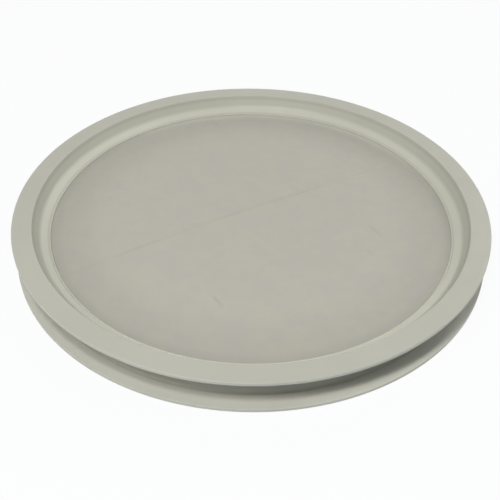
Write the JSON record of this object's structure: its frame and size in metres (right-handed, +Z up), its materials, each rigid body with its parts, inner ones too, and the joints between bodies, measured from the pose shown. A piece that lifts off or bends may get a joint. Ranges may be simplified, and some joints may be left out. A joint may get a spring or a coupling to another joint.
{
  "type": "dryer lint filter",
  "caption": "Round dryer lint filter: a disc of fine woven cloth held at mid-height in a flat flanged plastic ring, grooved round its outer edge and recessed on both faces.",
  "frame": {"origin": "on the ring's axis, at the bottom face of the lower flange", "axes": "+Z up along the ring's axis, square to the cloth; X and Y lie in the ring's plane, with -Y towards the picture's viewer"},
  "size_m": [0.3, 0.3, 0.023],
  "materials": {
    "ring_plastic": "satin warm grey moulded plastic",
    "filter_cloth": "fine woven grey filter cloth"
  },
  "bodies": {
    "root": {"upper_ring": "ring_plastic", "lower_ring": "ring_plastic", "filter_mesh": "filter_cloth"}
  },
  "joints": []
}
